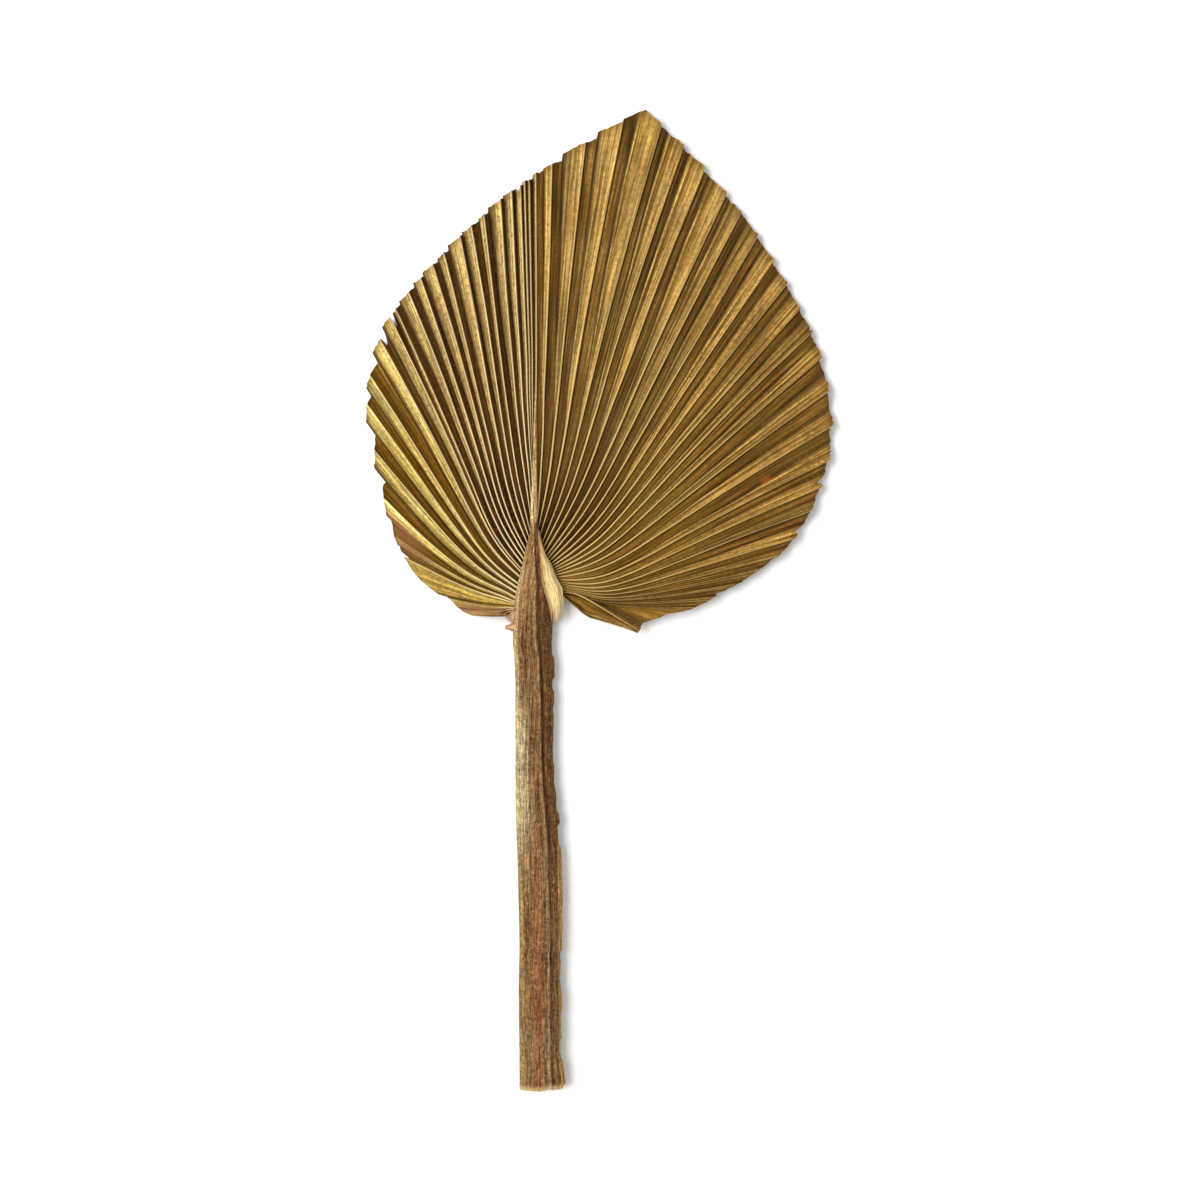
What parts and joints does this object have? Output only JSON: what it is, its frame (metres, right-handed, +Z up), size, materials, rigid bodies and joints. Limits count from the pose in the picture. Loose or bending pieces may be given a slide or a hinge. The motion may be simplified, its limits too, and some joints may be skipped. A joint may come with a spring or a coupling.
{
  "type": "fan palm leaf",
  "caption": "Dried fan palm leaf: a pleated spade-shaped blade trimmed to a point, on a short stiff fibrous stalk cut square, lying flat.",
  "frame": {"origin": "on the surface that the leaf lies on, below the middle of its bounding box", "axes": "+Y along the leaf from the cut stalk to the blade's tip, +Z up out of the blade's upper side, +X to the right seen from above with the tip away from the viewer"},
  "size_m": [0.2632, 0.5594, 0.0139],
  "materials": {
    "blade": "dry straw-gold leaf with pale rib lines and dark valleys, matt to faintly satin",
    "stalk": "rough brown fibres along the length, matt"
  },
  "bodies": {
    "root": {"palm_leaf": "blade"}
  },
  "joints": []
}
